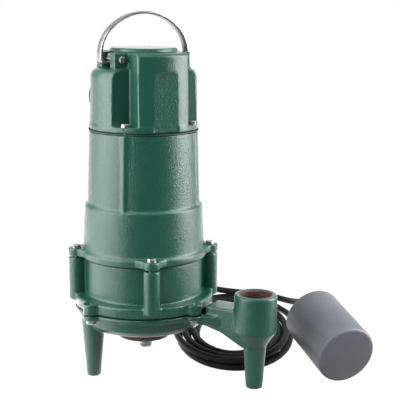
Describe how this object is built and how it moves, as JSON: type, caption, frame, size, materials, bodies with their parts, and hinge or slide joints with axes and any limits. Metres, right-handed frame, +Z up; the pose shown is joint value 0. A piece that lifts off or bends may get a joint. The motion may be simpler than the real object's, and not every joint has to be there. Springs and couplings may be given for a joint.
{
  "type": "submersible sump pump",
  "caption": "Submersible sump pump: cast stepped body on three legs, strap handle, side discharge with an upward threaded boss, tethered float switch and coiled cord.",
  "frame": {"origin": "bottom centre of the box round the pump without its cords, plug and float; the pump's own axis is at x = -0.0446 m", "axes": "+Z up, +X along the discharge arm"},
  "size_m": [0.4278, 0.4134, 0.4531],
  "materials": {
    "cast_green": "glossy green powder coat over rough cast iron",
    "primer_red": "dull red-brown primer",
    "stainless": "brushed strap",
    "zinc_steel": "bright plated",
    "black_gasket": "matt",
    "black_rubber": "satin jacket",
    "black_plastic": "moulded",
    "float_grey": "satin moulded",
    "plug_brass": "bright",
    "lamination": "stacked sheet",
    "copper_winding": "varnished copper",
    "cast_aluminium": "as cast",
    "bearing_steel": "ground",
    "seal_carbon": "lapped",
    "impeller_iron": "machined cast iron"
  },
  "bodies": {
    "pump": {"motor_cap": "cast_green", "motor_housing": "cast_green", "seal_housing": "cast_green", "volute": "cast_green", "suction_ring": "primer_red", "lifting_handle": "stainless", "cap_screws": "zinc_steel", "handle_bolts": "zinc_steel", "handle_nuts": "zinc_steel", "housing_bolts": "zinc_steel", "volute_bolts": "zinc_steel", "suction_ring_screws": "zinc_steel", "oil_fill_plug": "zinc_steel", "cap_gasket": "black_gasket", "housing_gasket": "black_gasket", "volute_gasket": "black_gasket", "power_cord_lead": "black_rubber", "power_cord_coil": "black_rubber", "power_cord_tail": "black_rubber", "float_cord": "black_rubber", "float_cord_boot": "black_rubber", "plug_body": "black_rubber", "power_cord_gland": "black_plastic", "float_cord_gland": "black_plastic", "terminal_block": "black_plastic", "float_switch": "black_plastic", "float_switch_tube": "black_plastic", "float_shell": "float_grey", "float_end_cap": "float_grey", "plug_blades": "plug_brass", "stator_core": "lamination", "stator_windings": "copper_winding", "run_capacitor": "cast_aluminium", "lower_bearing_outer_ring": "bearing_steel", "upper_bearing_outer_ring": "bearing_steel", "thermal_protector": "bearing_steel", "lower_seal_seat": "seal_carbon", "upper_seal_seat": "seal_carbon"},
    "shaft": {"motor_shaft": "bearing_steel", "rotor_core": "lamination", "rotor_end_rings": "cast_aluminium", "lower_bearing_inner_ring": "bearing_steel", "upper_bearing_inner_ring": "bearing_steel", "lower_seal_ring": "seal_carbon", "upper_seal_ring": "seal_carbon", "seal_spring": "bearing_steel", "impeller": "impeller_iron", "impeller_screw": "zinc_steel"},
    "lower_cage": {"lower_bearing_balls": "bearing_steel"},
    "upper_cage": {"upper_bearing_balls": "bearing_steel"},
    "switch_ball": {"float_switch_ball": "bearing_steel"}
  },
  "joints": [
    {"name": "shaft_spin", "type": "hinge", "parent": "pump", "child": "shaft", "pos_m": [-0.04458, 0, 0.2], "axis": [0, 0, 1], "continuous": true},
    {"name": "lower_cage_spin", "type": "hinge", "parent": "pump", "child": "lower_cage", "pos_m": [-0.04458, 0, 0.141], "axis": [0, 0, 1], "continuous": true},
    {"name": "upper_cage_spin", "type": "hinge", "parent": "pump", "child": "upper_cage", "pos_m": [-0.04458, 0, 0.29], "axis": [0, 0, 1], "continuous": true},
    {"name": "switch_ball_roll", "type": "slide", "parent": "pump", "child": "switch_ball", "axis": [-0.7416, 0.6223, 0.2504], "range_m": [0, 0.03]}
  ],
  "couplings": [
    {"joint": "lower_cage_spin", "follows": "shaft_spin", "ratio": 0.3866},
    {"joint": "upper_cage_spin", "follows": "shaft_spin", "ratio": 0.3877}
  ]
}
